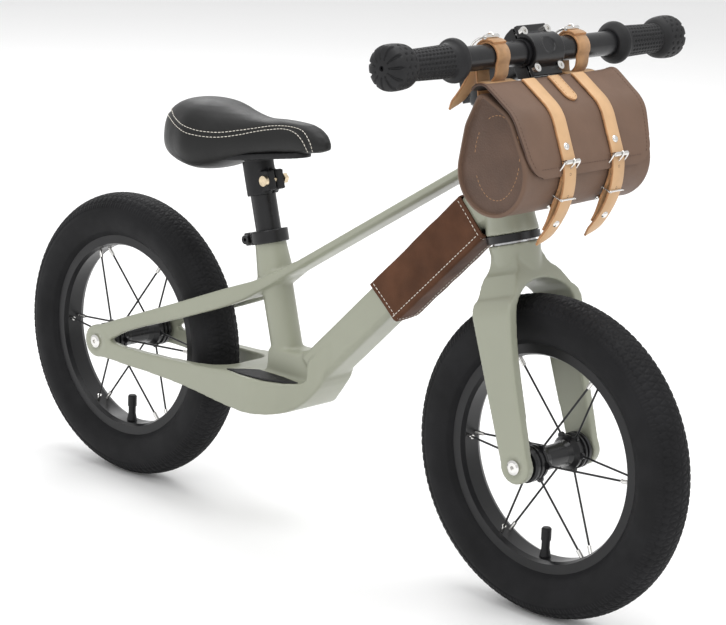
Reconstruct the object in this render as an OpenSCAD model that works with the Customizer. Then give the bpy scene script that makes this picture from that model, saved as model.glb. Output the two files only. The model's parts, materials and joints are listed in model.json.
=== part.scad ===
// Child's balance bike with a cast frame, pneumatic wheels and a leather handlebar bag.
// Millimetres. The bike faces +X, +Y is its left side and +Z is up. The origin is on the
// floor, in the middle plane, half way between the two axles.

/* [Wheels] */
// Outer diameter of each tyre
tyre_d = 300; // [292:1:304]
// Width of each tyre
tyre_w = 49; // [46:1:50]
// Distance between the two axles
wheelbase = 568; // [560:1:580]
// Radius of the rim at its flanges
rim_r = 109.5; // [108:0.5:110]
// Radius of the rim's bead seat
bead_seat_r = 101.5; // [101:0.5:102]
// Width of the rim over its flanges
rim_w = 27.2; // [26:0.2:28]
// Pairs of spokes in each wheel
spoke_pairs = 6; // [5:1:8]
// Diameter of a spoke
spoke_d = 2; // [1.8:0.1:2.4]

/* [Frame] */
// Outer width over the rear dropouts and over the fork ends
dropout_w = 106; // [104:1:110]
// Thickness of each dropout
dropout_t = 10; // [8:1:11]
// Width of the down tube
down_tube_w = 40; // [34:1:44]
// Depth of the down tube
down_tube_h = 34; // [30:1:36]
// Width of the top tube
top_tube_w = 32; // [28:1:36]
// Depth of the top tube
top_tube_h = 9; // [8:0.5:12]
// Outer diameter of the seat tube
seat_tube_d = 31.5; // [31:0.5:34]
// Lean of the seat tube from upright, in degrees
seat_tilt = 15.4; // [14:0.2:17]

/* [Steering] */
// Lean of the steering axis from upright, in degrees
head_tilt = 16.7; // [16:0.1:17.4]
// Outer diameter of the head tube
head_tube_d = 46; // [44:1:48]
// Outer diameter of the steerer tube
steerer_d = 28.6; // [28:0.1:29]
// Width of the handlebar over its grips
bar_w = 402; // [396:2:430]
// Diameter of the handlebar
bar_d = 22.2; // [22:0.1:22.4]
// Diameter of the handlebar inside the stem
bar_clamp_d = 25.4; // [25:0.1:26]

/* [Saddle] */
// Diameter of the seat post
post_d = 25.4; // [25:0.1:25.8]
// Length of the seat post
post_l = 150; // [140:1:160]

/* [Bag] */
// Length of the bag between its round ends
bag_l = 174; // [160:1:178]
// Thickness of the bag's leather
leather_t = 2.2; // [1.8:0.1:2.4]
// Width of the straps
strap_w = 17; // [14:1:18]
// Distance between the middles of the two front straps
front_strap_gap = 68; // [60:1:76]
// Distance between the middles of the two straps round the handlebar
bar_strap_gap = 111; // [100:1:120]

/* [Hidden] */
$fn = 64;
facet_fn = 32;
e = 0.01;

sage = [0.65, 0.66, 0.59];
black = [0.06, 0.06, 0.065];
rubber_black = [0.08, 0.08, 0.08];
silver = [0.78, 0.78, 0.78];
brown = [0.5, 0.42, 0.37];
dark_brown = [0.38, 0.25, 0.18];
tan_leather = [0.84, 0.69, 0.51];

// Wheels
tyre_r = tyre_d / 2;
axle_z = tyre_r;
front_x = wheelbase / 2;
rear_x = -wheelbase / 2;
section_r = tyre_w / 2;
section_mid = tyre_r - section_r;
tyre_wall = 3.5;
well_r = 98;
rim_inner_r = 95.2;
rim_wall = 1;
rim_fit = 0.2;
axle_r = 5;
running = 0.05;
bearing_r = 11;
bearing_w = 6;
hub_half = 40;
flange_y = 24;
ear_r = 3.2;
ear_pitch_r = 16.3;
rim_spoke_y = 6;
nipple_r = 2;
nipple_l = 11;
valve_r = 4.1;
bolt_r = 3;
bolt_head_r = 6.8;
dropout_outer = dropout_w / 2;
dropout_inner = dropout_outer - dropout_t;
dropout_r = 17;
recess_r = 10;
recess_t = 1.6;

// Steering axis, measured up it from the lower headset
head_x = 226;
head_z = 343;
crown_top = -4.5;
head_tube_from = 4;
head_tube_to = 100;
cup_r = 24.8;
upper_cup_r = 22;
head_bearing_r = 20.5;
head_bearing_bore = 15.1;
head_bearing_w = 6;
head_bore_r = 17;
stem_from = 124;
stem_to = 164;
stem_r = 18;
bar_forward = 62.6;
bar_up = 159.8;
bar_x = head_x + bar_forward * cos(head_tilt) - bar_up * sin(head_tilt);
bar_z = head_z + bar_forward * sin(head_tilt) + bar_up * cos(head_tilt);
stem_rise = 13.3;
faceplate_w = 40;
plate_bolt_y = 16;
plate_bolt_up = 17.5;

// Seat axis, measured up it from the middle of the belly
seat_x = -57;
seat_z = 185;
seat_tube_from = -25;
seat_tube_to = 111;
collar_h = 13;
post_from = 10;
neck_from = 150;

// Down tube and top tube lines
down_tube_start = [-18, 184];
down_tube_angle = 44.1;
top_tube_start = [-50, 266];
top_tube_angle = 31.6;
cover_from = 127;
cover_to = 275;
shelf_z = 157;

// Bag section, as three circles in the XZ plane
bag_low = [272, 419, 38.5];
bag_mid = [268, 449, 31];
bag_top = [259, 483, 8];
flap_gap = 0.4;
flap_half = 92;
bag_shift = -3.5;
flap_low_half = 66;
mouth_half = 78;

// ---------- placing helpers ----------

module at_axle(x) translate([x, 0, axle_z]) rotate([90, 0, 0]) children();

module along_head() translate([head_x, 0, head_z]) rotate([0, -head_tilt, 0]) children();

module along_seat() translate([seat_x, 0, seat_z]) rotate([0, -seat_tilt, 0]) children();

module both_sides() {
    children();
    mirror([0, 1, 0]) children();
}

// Outline in the XZ plane, extruded between two Y values
module side_slab(outline, y0, y1)
    translate([0, y1, 0]) rotate([90, 0, 0]) linear_extrude(y1 - y0) polygon(outline);

// Outline in the XY plane, extruded between two Z values
module plan_slab(outline, z0, z1)
    translate([0, 0, z0]) linear_extrude(z1 - z0) polygon(outline);

// Section in the YZ plane, extruded up a line that starts at a point and climbs at an angle
module beam(start, angle, length)
    translate([start[0], 0, start[1]]) rotate([0, -angle, 0]) rotate([90, 0, 90])
        linear_extrude(length) children();

module tube(r_out, r_in, from, to)
    translate([0, 0, from]) difference() {
        cylinder(h = to - from, r = r_out);
        translate([0, 0, -1]) cylinder(h = to - from + 2, r = r_in);
    }

module rod(r, from, to) translate([0, 0, from]) cylinder(h = to - from, r = r);

module y_rod(x, z, r, from, to)
    translate([x, to, z]) rotate([90, 0, 0]) cylinder(h = to - from, r = r);

// Points of an arc about a centre, from one angle to another
function arc(c, r, a0, a1, n) =
    [for (i = [0 : n]) let (a = a0 + (a1 - a0) * i / n) [c[0] + r * cos(a), c[1] + r * sin(a)]];

// Points of a smooth open curve that passes through every given point, in n steps a span
function curve(p, n = 3) = concat(
    [for (i = [0 : len(p) - 2], k = [0 : n - 1])
        curve_point(p[max(i - 1, 0)], p[i], p[i + 1], p[min(i + 2, len(p) - 1)], k / n)],
    [p[len(p) - 1]]);
function curve_point(a, b, c, d, t) =
    b + ((c - a) * t + (2 * a - 5 * b + 4 * c - d) * t * t + (3 * b - a - 3 * c + d) * t * t * t) / 2;

// The mirror image of a list of points, in the reverse order
function mirror_x(p) = [for (i = [len(p) - 1 : -1 : 0]) [-p[i][0], p[i][1]]];
function mirror_y(p) = [for (i = [len(p) - 1 : -1 : 0]) [p[i][0], -p[i][1]]];

// ---------- wheels ----------

// Upper half of the tyre's bead, which sits inside the rim's flange and under the side wall
bead_out = rim_w / 2 - rim_wall - rim_fit;
bead_in = bead_out - 4;
bead = [[bead_seat_r + rim_fit, bead_in], [bead_seat_r + rim_fit, bead_out], [rim_r + 0.6, bead_out],
    [rim_r + 0.6, bead_out + 4.6], [rim_r + 4.5, bead_out + 6.4], [rim_r + 1.5, bead_out - 1.4],
    [rim_r - 1.5, bead_in]];
// Upper half of the space that the beads leave for the inner tube
tube_space = [[tyre_r, section_r], [rim_r + 5.5, bead_out + 5.4], [rim_r + 2, bead_out - 1.8],
    [rim_r - 1.5, bead_in - 0.6], [well_r + 4, bead_in - 0.9]];

module wheel_tyre(x) color(rubber_black) at_axle(x) {
    rotate_extrude($fn = 120) difference() {
        translate([section_mid, 0]) circle(section_r);
        translate([section_mid, 0]) circle(section_r - tyre_wall);
        translate([0, -section_r]) square([rim_r + rim_fit, tyre_w]);
    }
    rotate_extrude($fn = 120) polygon(bead);
    rotate_extrude($fn = 120) polygon(mirror_y(bead));
}

module wheel_inner_tube(x) color(rubber_black) at_axle(x) difference() {
    tube_r = section_r - tyre_wall - 0.8;
    rotate_extrude($fn = 96) difference() {
        intersection() {
            translate([section_mid, 0]) circle(tube_r);
            polygon(concat(tube_space, mirror_y(tube_space)));
        }
        translate([section_mid, 0]) circle(tube_r - 4);
    }
    valve_hole(section_mid - tube_r - 1, section_mid - tube_r + 6, 3);
}

module valve_hole(from, to, r) rotate([90, 0, 0]) translate([0, 0, from]) cylinder(h = to - from, r = r);

module wheel_rim(x) {
    half = rim_w / 2;
    upper = [[rim_inner_r, 9], [97.3, half], [rim_r, half], [rim_r, half - rim_wall],
        [bead_seat_r, half - rim_wall], [bead_seat_r - 0.4, 8.5], [well_r, 7]];
    color(black) at_axle(x) difference() {
        rotate_extrude($fn = 120) polygon(concat(upper, mirror_y(upper)));
        each_spoke() spoke_line() rod(nipple_r + 0.05, spoke_length() - nipple_l, spoke_length() + 8);
        valve_hole(rim_inner_r - 5, well_r + 5, valve_r + 0.1);
    }
}

module wheel_rim_tape(x) color(tan_leather) at_axle(x) difference() {
    tube(well_r + 0.8, well_r + 0.05, -6.5, 6.5);
    valve_hole(well_r - 2, well_r + 4, valve_r + 0.1);
}

// A spoke runs outwards in its own radial plane from a flange ear to the rim
function spoke_rise() = rim_inner_r + 1.5 - (ear_pitch_r + 1.2);
function spoke_shift() = rim_spoke_y - flange_y;
function spoke_length() = sqrt(spoke_rise() * spoke_rise() + spoke_shift() * spoke_shift());

module spoke_line() translate([ear_pitch_r + 1.2, 0, flange_y])
    rotate([0, atan2(spoke_rise(), spoke_shift()), 0]) children();

module each_spoke() for (i = [0 : spoke_pairs - 1], s = [0, 1])
    rotate([0, 0, i * 360 / spoke_pairs]) mirror([0, 0, s]) children();

module wheel_spokes(x) color(black) at_axle(x)
    each_spoke() spoke_line() cylinder(h = spoke_length(), r = spoke_d / 2, $fn = 16);

module wheel_nipples(x) color(silver) at_axle(x)
    each_spoke() spoke_line()
        tube(nipple_r, spoke_d / 2 + 0.02, spoke_length() - nipple_l + 1, spoke_length());

// Half of the turned hub shell, as radius and distance from its middle
hub_profile = [[0, hub_half], [15.5, hub_half], [17, hub_half - 2], [17, hub_half - 5], [15.2, hub_half - 5.6],
    [15.2, hub_half - 7.2], [17, hub_half - 8], [17, hub_half - 10], [15.2, hub_half - 10.6],
    [15.2, flange_y + 1.6], [16.2, flange_y + 1.5], [16.2, flange_y - 1.5], [12.5, flange_y - 6],
    [11, flange_y - 12]];

module wheel_hub(x) color(black) at_axle(x) difference() {
    union() {
        rotate_extrude() polygon(concat(hub_profile, mirror_y(hub_profile)));
        for (s = [0, 1]) mirror([0, 0, s]) for (i = [0 : spoke_pairs - 1])
            rotate([0, 0, i * 360 / spoke_pairs]) translate([ear_pitch_r, 0, 0])
                rod(ear_r, flange_y - 1.4, flange_y + 1.4);
    }
    rod(axle_r + 1.5, -hub_half - 1, hub_half + 1);
    for (s = [0, 1]) mirror([0, 0, s]) rod(bearing_r + 0.01, hub_half - bearing_w - 0.5, hub_half + 1);
}

module wheel_bearings(x) color(silver) at_axle(x)
    for (s = [0, 1]) mirror([0, 0, s]) difference() {
        tube(bearing_r, axle_r + running, hub_half - bearing_w - 0.5, hub_half - 0.5);
        tube(bearing_r - 1.6, axle_r + 1.6, hub_half - 1, hub_half);
    }

module wheel_axle(x) color(silver) at_axle(x) difference() {
    union() {
        rod(axle_r, -dropout_inner, dropout_inner);
        for (s = [0, 1]) mirror([0, 0, s]) rod(axle_r + 2.2, hub_half + 0.3, dropout_inner);
    }
    for (s = [0, 1]) mirror([0, 0, s]) rod(bolt_r, dropout_inner - 14, dropout_inner + 1);
}

module wheel_axle_bolts(x) color(silver) at_axle(x) for (s = [0, 1]) mirror([0, 0, s]) difference() {
    union() {
        rod(bolt_r, dropout_inner - 13, dropout_outer - recess_t + e);
        rod(bolt_head_r, dropout_outer - recess_t, dropout_outer + 0.8);
        translate([0, 0, dropout_outer + 0.8]) cylinder(h = 1.2, r1 = bolt_head_r, r2 = bolt_head_r - 2);
    }
    translate([0, 0, dropout_outer - 0.6]) cylinder(h = 4, r = 2.3, $fn = 6);
}

valve_stem_r = 3.9;
cap_r = 4.7;
cap_l = 12;
cap_from = rim_inner_r - 28;

module wheel_valve(x) color(rubber_black) at_axle(x) rotate([90, 0, 0]) difference() {
    union() {
        translate([0, 0, cap_from + 4]) cylinder(h = 8.2, r = 2.8);
        translate([0, 0, cap_from + cap_l]) cylinder(h = 8, r = valve_stem_r);
        translate([0, 0, cap_from + cap_l + 7.9]) cylinder(h = 7.6, r1 = valve_stem_r, r2 = 5.4);
        translate([0, 0, rim_inner_r - 1]) cylinder(h = 8, r = valve_r - 0.2);
    }
    translate([0, 0, cap_from]) cylinder(h = 40, r = 1.2);
}

module wheel_valve_cap(x) color(black) at_axle(x) rotate([90, 0, 0])
    translate([0, 0, cap_from]) difference() {
        union() {
            cylinder(h = 1.5, r1 = cap_r - 1.2, r2 = cap_r);
            translate([0, 0, 1.5 - e]) cylinder(h = cap_l - 1.5, r = cap_r);
        }
        translate([0, 0, 3]) cylinder(h = cap_l, r = 2.85);
    }

// ---------- frame ----------

// Side view of the seat stays, from the dropout to where they meet the top tube
stay_side = concat(
    curve([[-292, 163], [-254, 179], [-169, 213], [-106, 239], [-77, 251], [-37, 274.5]]),
    curve([[-28, 270], [-46, 259], [-76, 238], [-106, 220], [-169, 195], [-244, 167], [-284, 140]]));
// Half outline of the stays seen from above: outer edge, then the wheel slot's edge
stay_outer = curve([[-300, 53], [-262, 52], [-169, 44], [-106, 34], [-70, 22], [-37, 15.2], [-20, 14.6]]);
stay_inner = curve([[-96, 0], [-98, 14], [-112, 24], [-140, 31.5], [-169, 35], [-262, 43], [-300, 43]]);
// Side view of the chain stays and the belly
belly_side = concat(
    curve([[-290, 134], [-251, 133.5], [-159, 130], [-90, 122.5], [-52, 121.5], [-22, 128], [-6, 140], [9, 157]]),
    [[14, 165], [22, 190]],
    curve([[20, 205], [-4, 182], [-6, 162], [-24, shelf_z + 0.5], [-60, shelf_z + 0.5], [-88, shelf_z + 2],
        [-122, 156], [-160, 153.5], [-244, 151.5], [-290, 158]]));
// Half outline of the chain stays seen from above, with the footrest shelf
belly_outer = curve([[-300, 53], [-262, 52], [-160, 50], [-90, 50], [-60, 49], [-30, 39], [-8, 26.5], [16, 21],
    [60, 20.4]]);
belly_inner = curve([[-112, 0], [-113, 22], [-126, 33], [-160, 38], [-262, 43], [-300, 43]]);

// Both stays of a pair, cut from a side view and from half of a plan view with its slot
module pair_of_stays(side, outer, inner) difference() {
    intersection() {
        side_slab(side, -dropout_outer - 1, dropout_outer + 1);
        plan_slab(concat(outer, mirror_y(outer)), 100, 300);
    }
    plan_slab(concat(inner, mirror_y(inner)), 90, 310);
}

module down_tube_section(grow = 0) {
    half = down_tube_w / 2 + grow;
    depth = down_tube_h + grow;
    c = 5;
    polygon([[-half + 3, grow], [half - 3, grow], [half, grow - 3], [half, c - depth], [half - c, -depth],
        [c - half, -depth], [-half, c - depth], [-half, grow - 3]]);
}

module top_tube_section() {
    half = top_tube_w / 2;
    polygon([[-half + 2, 0], [half - 2, 0], [half, -2], [half, -top_tube_h * 0.62],
        [half - 6, -top_tube_h], [6 - half, -top_tube_h], [-half, -top_tube_h * 0.62], [-half, -2]]);
}

module dropout_shape() at_axle(rear_x) for (s = [0, 1]) mirror([0, 0, s]) rod(dropout_r, dropout_inner, dropout_outer);

module dropout_holes(x) at_axle(x) for (s = [0, 1]) mirror([0, 0, s]) {
    rod(bolt_r + 0.1, dropout_inner - 1, dropout_outer + 1);
    rod(recess_r, dropout_outer - recess_t, dropout_outer + 1);
}

module frame() color(sage) difference() {
    union() {
        pair_of_stays(stay_side, stay_outer, stay_inner);
        pair_of_stays(belly_side, belly_outer, belly_inner);
        dropout_shape();
        beam(top_tube_start, top_tube_angle, 305) top_tube_section();
        beam(down_tube_start, down_tube_angle, 290) down_tube_section();
        along_seat() rod(seat_tube_d / 2, seat_tube_from, seat_tube_to);
        side_slab([[-70, 150], [-68, 181], [-44, 183.5], [-28, 184.5], [-10, 192], [-10, 150]], -16, 16);
        along_seat() translate([0, 0, 62]) cylinder(h = 38, r1 = seat_tube_d / 2 + 3.4, r2 = seat_tube_d / 2);
        along_head() rod(head_tube_d / 2, head_tube_from, head_tube_to);
        along_head() translate([0, 0, head_tube_from])
            cylinder(h = 14, r1 = cup_r, r2 = head_tube_d / 2);
    }
    along_seat() rod(post_d / 2 + running, seat_tube_from + 4, seat_tube_to + 1);
    along_seat() rod(seat_tube_d, seat_tube_to, seat_tube_to + 60);
    along_head() rod(head_bore_r, -60, head_tube_to + 60);
    along_head() rod(60, -60, head_tube_from);
    along_head() rod(60, head_tube_to, head_tube_to + 80);
    dropout_holes(rear_x);
    both_sides() plan_slab(pad_outline, shelf_z, shelf_z + 12);
}

module headset_cups() color(black) along_head() {
    difference() {
        union() {
            rod(cup_r, -2.7, head_tube_from);
            rod(head_bore_r, head_tube_from - e, head_tube_from + 10);
        }
        rod(head_bearing_r + 0.02, -4, head_bearing_w - 2.6);
        rod(head_bearing_bore + 0.5, -4, 20);
    }
    difference() {
        union() {
            rod(upper_cup_r, head_tube_to, head_tube_to + 7);
            rod(head_bore_r, head_tube_to - 10, head_tube_to + e);
        }
        rod(head_bearing_r + 0.02, head_tube_to + 0.6, head_tube_to + 8);
        rod(head_bearing_bore + 0.5, head_tube_to - 12, head_tube_to + 8);
    }
}

module headset_bearings() color(silver) along_head() {
    tube(head_bearing_r, head_bearing_bore, -2.6, head_bearing_w - 2.6);
    tube(head_bearing_r, head_bearing_bore, head_tube_to + 0.6, head_tube_to + 0.6 + head_bearing_w);
}

module seat_collar() color(black) along_seat() difference() {
    union() {
        rod(19, seat_tube_to - 9, seat_tube_to + collar_h - 9);
        translate([-28, -8, seat_tube_to - 9]) cube([13, 16, collar_h]);
    }
    rod(seat_tube_d / 2 + 0.02, seat_tube_to - 12, seat_tube_to);
    rod(post_d / 2 + 0.35, seat_tube_to - 1, seat_tube_to + collar_h);
    translate([-30, -1, seat_tube_to - 10]) cube([17, 2, collar_h + 2]);
    y_rod(-23, seat_tube_to - 2.5, 2.6, -10, 10);
}

module seat_collar_bolt() color(black) along_seat() difference() {
    union() {
        y_rod(-23, seat_tube_to - 2.5, 2.5, -9, 10);
        y_rod(-23, seat_tube_to - 2.5, 4.6, -12.5, -8);
        y_rod(-23, seat_tube_to - 2.5, 4, 8, 11);
    }
    translate([-23, -9.5, seat_tube_to - 2.5]) rotate([90, 0, 0]) cylinder(h = 4, r = 2, $fn = 6);
}

// Outline of a footrest pad's pocket, and the pad itself, a little smaller about its middle
pad_outline = [[-98, 44], [-86, 30], [-74, 20], [-40, 21], [-14, 25], [-24, 34], [-46, 43], [-76, 46.5]];
pad_middle = [-55, 33];
pad_share = 0.985;

module footrest_pads() color(rubber_black) both_sides()
    plan_slab([for (p = pad_outline) pad_middle + (p - pad_middle) * pad_share], shelf_z + e, shelf_z + 2.2);

cover_t = 1.8;
cover_keel = 9;

// The wrap hangs below the tube, where its two edges are sewn together
module cover_section() {
    half = down_tube_w / 2 + cover_t;
    polygon([[-half, cover_t], [half, cover_t], [half, -down_tube_h], [half - 6, -down_tube_h - 5],
        [5, -down_tube_h - cover_keel + 1], [-half + 3, -down_tube_h - cover_keel], [-half, -down_tube_h - 6]]);
}

module down_tube_cover() color(dark_brown) difference() {
    translate([cover_from * cos(down_tube_angle), 0, cover_from * sin(down_tube_angle)])
        beam(down_tube_start, down_tube_angle, cover_to - cover_from) cover_section();
    beam(down_tube_start, down_tube_angle, 300) down_tube_section(0.05);
    along_head() rod(cup_r + 0.3, -60, head_tube_to);
}

// ---------- fork ----------

// Side view of the fork blades about the steering axis: forward, up
blade_side = concat(
    curve([[-15, -201.5], [-16, -180], [-19, -85], [-20, -44], [-18, -28], [-14, crown_top]]),
    curve([[14, crown_top], [18, -24], [25, -44], [25, -66], [21, -90], [18, -125], [16, -180], [15, -201.5]]));

// Front view of the fork: right half of the outline, then the arch over the wheel
blade_outer = concat(
    [[dropout_inner + 0.4, -201.5], [dropout_outer - 0.4, -201.5]],
    arc([dropout_outer - 18.4, -66], 18, 0, 70, 6),
    arc([34, -18], 14, 250, 190, 5),
    [[14, crown_top]]);
blade_arch = [for (a = [180 : -15 : 0]) [41 * cos(a), -68 + 28.5 * sin(a)]];
blade_front = concat(blade_outer, mirror_x(blade_outer), [[-41, -130]], blade_arch, [[41, -130]]);

module fork() color(sage) difference() {
    union() {
        along_head() {
            intersection() {
                rotate([90, 0, 0]) translate([0, 0, -60]) linear_extrude(120) polygon(blade_side);
                rotate([90, 0, 90]) translate([0, 0, -40]) linear_extrude(80) polygon(blade_front);
            }
            translate([0, 0, -34]) cylinder(h = 34 + crown_top, r1 = cup_r - 4, r2 = cup_r - 0.8);
            rod(steerer_d / 2, crown_top - 1, stem_to - 2);
        }
        at_axle(front_x) for (s = [0, 1]) mirror([0, 0, s]) rod(16, dropout_inner, dropout_outer);
    }
    along_head() rod(steerer_d / 2 - 2.4, -30, stem_to + 1);
    dropout_holes(front_x);
}

module crown_race() color(silver) along_head() {
    tube(20, steerer_d / 2, crown_top, -2.9);
    tube(head_bearing_bore - running, steerer_d / 2, -2.9 - e, 0);
}

module headset_cover() color(black) along_head() {
    tube(head_bearing_bore - running, steerer_d / 2, head_tube_to + 2, head_tube_to + 8);
    tube(upper_cup_r, steerer_d / 2, head_tube_to + 7.4, head_tube_to + 13);
}

module spacer() color(black) along_head() tube(16.5, steerer_d / 2, head_tube_to + 13, stem_from);

// ---------- stem and handlebar ----------

// The stem's own axes: its bar end is at the handlebar and it points forwards and up
module at_stem() translate([bar_x, 0, bar_z]) rotate([0, -head_tilt - stem_rise, 0]) children();

module clamp_block(x0, x1) translate([x0, -faceplate_w / 2, -24]) cube([x1 - x0, faceplate_w, 48]);

module stem() color(black) difference() {
    union() {
        along_head() rod(stem_r, stem_from, stem_to);
        at_stem() translate([-58, 0, 0]) rotate([0, 90, 0]) cylinder(h = 50, r = 14.5);
        at_stem() intersection() {
            clamp_block(-15, -1);
            translate([0, faceplate_w / 2, 0]) rotate([90, 0, 0]) cylinder(h = faceplate_w, r = 24);
        }
        along_head() translate([-stem_r - 7, -10, stem_from + 3]) cube([14, 20, stem_to - stem_from - 6]);
    }
    along_head() rod(steerer_d / 2, stem_from - 1, stem_to + 1);
    along_head() translate([-stem_r - 9, -1, stem_from - 1]) cube([20, 2, stem_to - stem_from + 2]);
    along_head() for (z = [stem_from + 11, stem_to - 11]) y_rod(-stem_r - 1, z, 2.6, -12, 12);
    y_rod(bar_x, bar_z, bar_clamp_d / 2, -faceplate_w, faceplate_w);
    plate_bolt_places() rod(2.6, -14, 10);
}

module plate_bolt_places() at_stem() for (y = [-1, 1], z = [-1, 1])
    translate([0, y * plate_bolt_y, z * plate_bolt_up]) rotate([0, 90, 0]) children();

module stem_faceplate() color(black) difference() {
    at_stem() union() {
        intersection() {
            clamp_block(0.6, 17);
            translate([0, faceplate_w / 2, 0]) rotate([90, 0, 0]) cylinder(h = faceplate_w, r = 17);
        }
        clamp_block(0.6, 4.5);
    }
    y_rod(bar_x, bar_z, bar_clamp_d / 2, -faceplate_w, faceplate_w);
    plate_bolt_places() rod(2.6, -2, 20);
    plate_bolt_places() rod(4.2, 4.5, 20);
    at_stem() translate([15, 0, 0]) rotate([0, 90, 0]) cylinder(h = 5, r = 8);
}

module faceplate_bolts() color(silver) plate_bolt_places() difference() {
    union() {
        rod(2.5, -13, 5);
        rod(4, 4.5, 8.5);
    }
    translate([0, 0, 6]) cylinder(h = 4, r = 2, $fn = 6);
}

module stem_clamp_bolts() color(silver) along_head() for (z = [stem_from + 11, stem_to - 11]) difference() {
    union() {
        y_rod(-stem_r - 1, z, 2.5, -11, 9);
        y_rod(-stem_r - 1, z, 4, -14, -10.05);
    }
    translate([-stem_r - 1, -12, z]) rotate([90, 0, 0]) cylinder(h = 4, r = 2, $fn = 6);
}

module top_cap() color(black) along_head() difference() {
    union() {
        rod(stem_r - 1, stem_to, stem_to + 3);
        rod(steerer_d / 2 - 2.5, stem_to - 4, stem_to + e);
    }
    rod(3.2, stem_to - 5, stem_to + 4);
    rod(5, stem_to + 1.2, stem_to + 4);
}

module top_cap_bolt() color(silver) along_head() difference() {
    union() {
        rod(3, stem_to - 26, stem_to + 1.2);
        rod(4.8, stem_to + 1.2, stem_to + 4.6);
        rod(steerer_d / 2 - 2.42, stem_to - 24, stem_to - 20);
    }
    translate([0, 0, stem_to + 2.4]) cylinder(h = 4, r = 2.5, $fn = 6);
}

bar_end = bar_w / 2 - 3;

module handlebar() color(black) difference() {
    union() {
        y_rod(bar_x, bar_z, bar_d / 2, -bar_end, bar_end);
        y_rod(bar_x, bar_z, bar_clamp_d / 2, -24, 24);
    }
    y_rod(bar_x, bar_z, bar_d / 2 - 2, -bar_end - 1, bar_end + 1);
}

grip_from = 103;

module grip() translate([bar_x, 0, bar_z]) rotate([-90, 0, 0]) difference() {
    rotate_extrude($fn = 96) polygon([[bar_d / 2, grip_from], [14, grip_from], [18.5, grip_from + 5],
        [19.5, grip_from + 9], [18.5, grip_from + 12], [15.4, grip_from + 16], [14.4, grip_from + 40],
        [13.6, bar_w / 2 - 32], [17, bar_w / 2 - 28], [19.5, bar_w / 2 - 23], [20, bar_w / 2 - 15],
        [19.5, bar_w / 2 - 7], [17, bar_w / 2 - 3], [13, bar_w / 2 - 0.5], [0, bar_w / 2],
        [0, bar_w / 2 - 2.9], [bar_d / 2, bar_w / 2 - 2.9]]);
}

module grip_left() color(rubber_black) grip();
module grip_right() color(rubber_black) mirror([0, 1, 0]) grip();

// ---------- handlebar bag ----------

module bag_section(grow) hull() for (c = [bag_low, bag_mid, bag_top])
    translate([c[0], c[1]]) circle(c[2] + grow, $fn = facet_fn * 2);

// The bag hangs a little off the middle of the bar
module hung() translate([0, bag_shift, 0]) children();

module bag_extrude(half) translate([0, half, 0]) rotate([90, 0, 0]) linear_extrude(2 * half) children();

module bag_body() color(brown) hung() difference() {
    bag_extrude(bag_l / 2) bag_section(0);
    bag_extrude(bag_l / 2 - leather_t) bag_section(-leather_t);
    bag_extrude(mouth_half) polygon([[260, 500], [330, 500], [330, 436], [288, 446], [262, 474]]);
}

module bag_flap() color(brown) hung() intersection() {
    bag_extrude(flap_half) difference() {
        bag_section(flap_gap + leather_t);
        bag_section(flap_gap);
        polygon([[200, 360], [200, 520], [252, 520], [252, 480], [285, 426], [330, 426], [330, 360]]);
    }
    rotate([90, 0, 90]) linear_extrude(400) polygon([[-flap_low_half, 420], [flap_low_half, 420], [80, 432],
        [86, 446], [flap_half, 500], [-flap_half, 500], [-86, 446], [-80, 432]]);
}

// A flat strap that follows a line of points in the XZ plane
function normal_at(p, i) = let (a = p[max(i - 1, 0)], b = p[min(i + 1, len(p) - 1)],
    d = b - a) [-d[1], d[0]] / norm(d);
function ribbon(p, t) = concat([for (i = [0 : len(p) - 1]) p[i] + normal_at(p, i) * t / 2],
    [for (i = [len(p) - 1 : -1 : 0]) p[i] - normal_at(p, i) * t / 2]);

strap_out = flap_gap + 2 * leather_t;
strap_tail = [[313.3, 429], [313.9, 418], [312.8, 404], [309, 389], [302, 373], [293, 361], [284, 352.5]];
wall_lean = 22;
tail_lean = 120;

module front_strap(y) translate([0, y, 0]) {
    bag_extrude(strap_w / 2) difference() {
        bag_section(flap_gap + 2 * leather_t);
        bag_section(flap_gap + leather_t);
        polygon([[200, 360], [200, 520], [262, 520], [262, 480], [285, 428], [330, 428], [330, 360]]);
    }
    bag_extrude(strap_w / 2) polygon(ribbon(strap_tail, leather_t));
}

module front_strap_left() color(tan_leather) hung() front_strap(front_strap_gap / 2);
module front_strap_right() color(tan_leather) hung() front_strap(-front_strap_gap / 2);

module at_front_straps() for (s = [-1, 1]) translate([0, s * front_strap_gap / 2, 0]) children();

module strap_buckles() color(silver) hung() at_front_straps() {
    bar_half = strap_w / 2 + 3.2;
    y_rod(318.2, 431, 2, -bar_half, bar_half);
    for (s = [-1, 1]) translate([0, s * (bar_half - 0.8), 0])
        bag_extrude(0.8) polygon(ribbon([[318.2, 431], [319.2, 420], [317, 410]], 1.6));
}

module strap_keepers() color(silver) hung() at_front_straps() difference() {
    translate([308.2, -strap_w / 2 - 1.2, 397]) cube([7.8, strap_w + 2.4, 4]);
    translate([309.2, -strap_w / 2 - 0.1, 396]) cube([5.8, strap_w + 0.2, 6]);
}

module rivet_head(x, z, lean, out) translate([x, 0, z]) rotate([0, lean, 0])
    translate([0, 0, out]) cylinder(h = 2, r1 = 3.4, r2 = 2.2);

module strap_rivets() color(silver) hung() at_front_straps() {
    rivet_head(304.6, 441, 90 - wall_lean, strap_out + 0.05);
    rivet_head(302, 373, tail_lean, leather_t / 2 + 0.1);
}

module flap_tab() color(tan_leather) hung() bag_extrude(strap_w / 2) difference() {
    bag_section(flap_gap + 2 * leather_t);
    bag_section(flap_gap + leather_t);
    polygon([[200, 360], [200, 520], [262, 520], [262, 470], [330, 470], [330, 360]]);
}

module bag_snap_studs() color(silver) hung() at_front_straps()
    rivet_head(bag_low[0], bag_low[1], 142, bag_low[2] + 0.05);

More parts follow.
